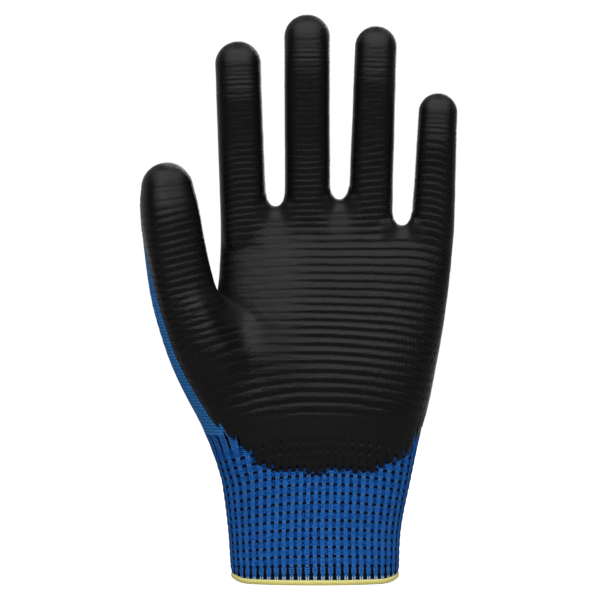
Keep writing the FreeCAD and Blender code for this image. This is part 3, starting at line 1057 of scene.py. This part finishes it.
def dress(skin, name, material, masks):
    """Makes one piece of a skin, with normals that carry on across its cuts."""
    v = skin.values
    pairs, shared = edges_of(skin.faces)
    rim = pairs[shared == 1]
    normals = np.zeros_like(v["rest"])
    normals[rim.ravel()] = v["shade"][rim.ravel()]
    points, faces = v["place"], skin.faces
    values = {key: v[key] for key in masks}
    stitch, columns = stitches(v["rest"], name.rsplit("_", 1)[0])
    if "level" in v:
        free = v["level"] < ON_EDGE
        normals[free] = 0
        points, faces, used = turned_down(v, faces, rim[free[rim].all(1)])
        normals = np.concatenate([normals, np.zeros((len(used), 3))])
        values = {key: np.concatenate([a, a[used]]) for key, a in values.items()}
        stitch = np.concatenate([stitch, stitch[used]])
    return add_mesh(name, points, faces, material, stitch, columns, values, normals)


def turned_down(v, faces, rim):
    """Adds a strip that turns the film's free edge down into the knit, and says which points
    it doubles."""
    count = len(v["rest"])
    sides = directed_sides(faces)
    forward = np.isin(rim @ (count, 1), sides @ (count, 1))
    rim = np.where(forward[:, None], rim, rim[:, ::-1])
    used = np.unique(rim)
    number = np.zeros(count, int)
    number[used] = count + np.arange(len(used))
    low = v["rest"][used] - EDGE_TUCK * v["normal"][used]
    strip = np.stack([rim[:, 1], rim[:, 0], number[rim[:, 0]], number[rim[:, 1]]], 1)
    return np.concatenate([v["place"], low]), np.concatenate([faces, strip]), used


def ride_on(piece, name):
    """Hangs a piece of skin on the hand; any other piece only has its transform baked into its
    mesh.
    """
    if name == "hand":
        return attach(piece, "hand")
    stall = stall_of[name]
    k = stall.names.index(name)
    start, end = (tuple(stall.point(height) * MM) for height in stall.zones[k])
    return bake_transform(piece)


def make_skins():
    """Makes the knit and the film, and returns the whole knit skin."""
    # the outer face above the cuff
    points, quads = surface_net()
    points = relax(settle(points, 2)[0], quads, 3)
    level = film_level(points)
    rest, normal = settle(points)
    values = {"rest": rest, "normal": normal, "place": rest, "ladder": ladder_band(rest)}
    values["shade"] = vertex_normals(rest, quads)
    whole = Skin(values, quads)

    # knit: everything outside the film, and a strip under its edge
    knit = whole.split(KNIT_UNDER_FILM - level)[0]
    knit = knit.split(knit.values["rest"][:, 2] - CUFF_TOP + KNIT_OVER_CUFF)[0]
    for name, skin in by_piece(knit).items():
        piece = dress(skin, name + "_knit", knit_material, ["ladder"])
        ride_on(piece, name)
        if name == "hand":
            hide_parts("palm_liner", "knuckle_liner")
        else:
            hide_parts(name + "_liner", name + "_flex")

    # film: a finer skin inside its edge
    near = level[quads].max(1) > -KNIT_UNDER_FILM
    fine = Skin({"rest": rest}, quads).keep(near).refine()
    rest, normal = settle(fine.values["rest"])
    level = film_level(rest)
    offset, valley, wall = film_relief(rest, normal, level)
    corner, saddle = web_masks(rest)
    values = {"rest": rest, "normal": normal, "level": level}
    values["place"] = rest + normal * offset[:, None]
    values["shade"] = vertex_normals(values["place"], fine.faces)
    # painted shade: this mask takes the film's colour near black in the rib valleys, the waffle's
    # dents and the web corners
    values["valley"] = np.maximum(valley, corner)
    matte = np.maximum(smoothstep(rest[:, 2], *HEEL), 1.5 * wall)
    values["matte"] = np.maximum(matte, 2.4 * corner + 0.4 * saddle)
    film = Skin(values, fine.faces).split(level)[0]
    for name, skin in by_piece(film).items():
        piece = dress(skin, name + "_dip", film_material, ["valley", "matte"])
        ride_on(piece, name)
        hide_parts("palm_film" if name == "hand" else name + "_film")
    return whole


# ---- cuff, hem, lining, elastic
def ring_points(z, count, grow=0.0):
    """Evenly spread points round the glove at a height, along rays from its section's middle."""
    middle_x, half_x, middle_y, half_y, _ = section(np.full(1, z))[:, 0]
    centre = np.array([middle_x, middle_y, z])
    turns = np.interp((np.arange(count) / count - 0.5) % 1.0, ARC_SHARE, ARC_TURN)
    way = np.stack([np.cos(turns) * half_x, np.sin(turns) * half_y, 0 * turns], 1)
    length = np.linalg.norm(way, axis=1)
    size = np.ones(count)
    for _ in range(5):
        size -= field(centre + way * size[:, None]) / length * 0.95
    return centre + way * (size + grow / length)[:, None]


def grid_faces(rows, count):
    """Quads of a grid that is closed round its rows."""
    a = np.arange(count)
    b = (a + 1) % count
    quads = [np.stack([a, b, b + count, a + count], 1) + row * count for row in range(rows - 1)]
    return np.concatenate(quads)


def lift_sides(points, z):
    """Raises and narrows the hem where it turns from the palm to the back."""
    middle, half = section(np.ones(1))[:2, 0]
    off = points[:, 0] - middle
    turn = np.clip((np.abs(off) - half) / HEM_TURN + 1, 0, 1.2) ** 1.8
    lifted = points.copy()
    lifted[:, 2] += HEM_LIFT * turn * smoothstep(z, 12, 2)
    lifted[:, 0] -= np.sign(off) * HEM_NARROW * turn * smoothstep(z, 5, 1.5)
    return lifted


def make_cuff_piece():
    """The waffle-knit cuff: raised columns with crosswise dents."""
    count = CUFF_COLUMNS * COLUMN_POINTS
    heights = np.linspace(HEM_SHOWN * 0.5, CUFF_TOP, CUFF_RINGS)
    outer, normal = settle(np.concatenate([ring_points(z, count) for z in heights]))
    column, row = column_round(outer), waffle_row(outer)
    z = outer[:, 2]
    ladder = ladder_band(outer)
    plain = smoothstep(row_level(outer), *WAFFLE_END)
    ridge = 1 - smoothstep(np.abs(column % 1.0 - 0.5), 0.3, 0.46)
    dent = bump(row % 1.0 - 0.5, 0.24) * (1 - plain)
    relief = ROW_SWELL * np.cos(2 * math.pi * row) * ridge * (1 - plain)
    relief -= (COLUMN_HEIGHT + DENT_DEPTH * dent + LADDER_DEPTH * ladder) * (1 - ridge)
    relief *= 1 - smoothstep(z, CUFF_TOP - 1.5, CUFF_TOP)
    place = lift_sides(outer + normal * relief[:, None], z)
    faces = grid_faces(len(heights), count)
    stitch = np.stack([column, row], 1)
    masks = {"ladder": ladder, "plain": plain}
    cuff = add_mesh("cuff_knit", place, faces, cuff_material, stitch, CUFF_COLUMNS, masks)
    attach(cuff, "hand")
    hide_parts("cuff")


def make_hem_piece():
    """The overlocked edge: a band of wrapped yarn round the knit."""
    count = CUFF_COLUMNS * 12
    wraps = CUFF_COLUMNS * 4
    share = np.arange(count) / count
    mid = HEM_SHOWN / 2
    rings = []
    for k in range(HEM_SIDES):
        turn = 2 * math.pi * k / HEM_SIDES
        across = math.copysign(abs(math.cos(turn)) ** HEM_SQUARE, math.cos(turn))
        high = math.copysign(abs(math.sin(turn)) ** HEM_SQUARE, math.sin(turn)) * mid
        out = math.copysign(1, across)
        wrap = np.abs(np.sin(math.pi * (share * wraps + out * (mid + high) / HEM_SHOWN / 2)))
        sink = -WRAP_DEPTH * (1 - wrap) ** 2
        grow = across * (KNIT_WALL / 2 + HEM_PROUD) - KNIT_WALL / 2 + sink * out
        ring = ring_points(max(mid + high, 0.05), count)
        ring = ring + settle(ring)[1] * grow[:, None]
        ring[:, 2] = mid + high * (1 + sink / 3)
        rings.append(lift_sides(ring, ring[:, 2]))
    points = np.concatenate(rings)
    faces = grid_faces(HEM_SIDES + 1, count) % len(points)
    round_band = np.repeat(np.arange(HEM_SIDES) * 2 / HEM_SIDES, count)
    stitch = np.stack([np.tile(share * wraps, HEM_SIDES), round_band], 1)
    hem = add_mesh("hem_overlock", points, faces, hem_material, stitch, wraps)
    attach(hem, "hand")
    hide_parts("hem")


def make_elastic_piece():
    """Elastic yarns that run round the inside of the cuff."""
    count = CUFF_COLUMNS * 4
    pitch = (CUFF_TOP - 2 * ELASTIC_FIRST) / (ELASTIC_ROWS - 1)
    half = ELASTIC_SIZE / 2
    rings = []
    for k in range(ELASTIC_ROWS):
        z = ELASTIC_FIRST + pitch * k + half
        for turn in np.arange(YARN_SIDES) * 2 * math.pi / YARN_SIDES:
            grow = ELASTIC_SUNK - KNIT_WALL + half * math.cos(turn)
            rings.append(ring_points(z + half * math.sin(turn), count, grow))
    points = np.concatenate(rings)
    yarn = YARN_SIDES * count
    grid = grid_faces(YARN_SIDES + 1, count) % yarn
    faces = np.concatenate([grid + yarn * k for k in range(ELASTIC_ROWS)])
    share = np.tile(np.arange(count) / 2, len(rings))
    stitch = np.stack([share, points[:, 2] / ELASTIC_SIZE], 1)
    elastic = add_mesh("elastic_yarns", points, faces, elastic_material, stitch, count / 2)
    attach(elastic, "hand")
    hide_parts("cuff_elastic")


def make_lining(whole):
    """The inside of the cuff and hand, seen through the wrist opening."""
    count = CUFF_COLUMNS * 4
    heights = np.linspace(HEM_SHOWN * 0.5, CUFF_TOP + 1, 42)
    points = np.concatenate([ring_points(z, count, -KNIT_WALL) for z in heights])
    points = lift_sides(points, points[:, 2])
    columns = CUFF_COLUMNS * 2
    column = np.tile(np.arange(count) / count * columns, len(heights))
    stitch = np.stack([column, points[:, 2] / STITCH_COURSE], 1)
    faces = grid_faces(len(heights), count)[:, ::-1]
    piece = add_mesh("cuff_lining", points, faces, lining_material, stitch, columns)
    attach(piece, "hand")

    hand = by_piece(whole.split(whole.values["rest"][:, 2] - CUFF_TOP)[0])["hand"]
    rest = hand.values["rest"]
    points = rest - KNIT_WALL * hand.values["normal"]
    faces = hand.faces
    faces = np.where(faces[:, 3:] < 0, faces[:, [2, 1, 0, 3]], faces[:, ::-1])
    piece = add_mesh("hand_lining", points, faces, lining_material, *stitches(rest, "hand"))
    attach(piece, "hand")


# ---- stage, in metres
CAMERA_TARGET = Vector((-0.0065, 0.0, 0.1218))
CAMERA_DISTANCE = 1.2
FIELD = 0.2600  # width of the view at the glove
LIGHT_TARGET = Vector((0, 0, 0.12))
# Softboxes: place, width and height, and power in watts.
SOFTBOXES = {
    "key_softbox": ((0.0, -0.6, 1.25), (1.7, 1.4), 27.0),
    "front_softbox": ((0.0, -1.3, 0.74), (2.2, 0.5), 11.0),
    "back_softbox": ((0.2, 1.3, 0.7), (1.0, 1.0), 8.0),
}
WORLD_FILL = 0.42  # how strongly the white world lights matte surfaces
FRONT_WALL = 0.08  # how bright the studio's front and back are in reflections
BACK_WALL = 0.5
FLOOR_SIZE = 2.4
FLOOR_SINK = 0.0002  # how far the floor lies below the hem
FLOOR_SHADE = 0.35
FLOOR_BOUNCE = 0.2  # how much of its white the floor owes to that shade


def make_camera():
    data = bpy.data.cameras.new("camera")
    data.sensor_width = 36.0
    data.lens = data.sensor_width * CAMERA_DISTANCE / FIELD
    data.clip_end = 20.0
    camera = link("camera", data)
    camera.location = CAMERA_TARGET + Vector((0, -CAMERA_DISTANCE, 0))
    camera.rotation_euler = (math.pi / 2, 0, 0)
    bpy.context.scene.camera = camera


def make_softboxes():
    for name, (place, size, power) in SOFTBOXES.items():
        data = bpy.data.lights.new(name, "AREA")
        data.shape = "RECTANGLE"
        data.size, data.size_y = size
        data.energy = power
        light = link(name, data)
        light.location = place
        light.rotation_mode = "QUATERNION"
        light.rotation_quaternion = (LIGHT_TARGET - Vector(place)).to_track_quat("-Z", "Y")


def background_rays(nodes):
    """1 for rays that see the background itself: camera, glossy and transmission rays."""
    camera, glossy, through = (
        nodes.read("ShaderNodeLightPath", "Is %s Ray" % kind)
        for kind in ("Camera", "Glossy", "Transmission")
    )
    return camera.least(glossy).least(through)


def make_world():
    world = bpy.data.worlds.new("studio")
    bpy.context.scene.world = world
    world.use_nodes = True
    nodes = Nodes(world.node_tree)
    back = nodes.tree.nodes["Background"]
    back.inputs["Color"].default_value = (1, 1, 1, 1)
    strength = background_rays(nodes).ramp(0, 1, WORLD_FILL, 1.0)
    way = nodes.read("ShaderNodeTexCoord", "Generated")
    nodes.feed(back.inputs["Strength"], strength * grey_front(nodes, way, -0.5, 0.9))


def grey_front(nodes, place, low, high):
    """The front of the studio is dim, so gloss that faces it stays dark. The camera sees it
    white all round."""
    parts = nodes.put("ShaderNodeSeparateXYZ", place)
    wall = Value(nodes, parts.outputs["Y"]).ramp(low, high, FRONT_WALL, BACK_WALL, "SMOOTHSTEP")
    return wall.least(nodes.read("ShaderNodeLightPath", "Is Camera Ray"))


def make_floor():
    """A plain white floor that still takes the glove's shadow."""
    mesh = bpy.data.meshes.new("floor")
    s = FLOOR_SIZE / 2
    mesh.from_pydata([(-s, -s, 0), (s, -s, 0), (s, s, 0), (-s, s, 0)], [], [(0, 1, 2, 3)])
    floor = link("floor", mesh)
    floor.location.z = -FLOOR_SINK
    material = bpy.data.materials.new("floor_white")
    material.use_nodes = True
    nodes = Nodes(material.node_tree)
    nodes.tree.nodes.clear()
    place = nodes.read("ShaderNodeNewGeometry", "Position")
    glow = background_rays(nodes) * (1 - FLOOR_SHADE * FLOOR_BOUNCE)
    glow = nodes.put("ShaderNodeEmission", Strength=glow * grey_front(nodes, place, -0.2, 1.2))
    diffuse = nodes.put("ShaderNodeBsdfDiffuse", (FLOOR_SHADE, FLOOR_SHADE, FLOOR_SHADE, 1))
    both = [Value(nodes, node.outputs[0]) for node in (diffuse, glow)]
    both = nodes.put("ShaderNodeAddShader", *both)
    nodes.put("ShaderNodeOutputMaterial", Value(nodes, both.outputs[0]))
    mesh.materials.append(material)


def make_stage():
    bpy.context.scene.view_settings.view_transform = "Standard"
    make_camera()
    make_world()
    make_floor()
    make_softboxes()


make_stage()
whole = make_skins()
make_cuff_piece()
make_hem_piece()
make_elastic_piece()
make_lining(whole)

bpy.context.view_layer.update()
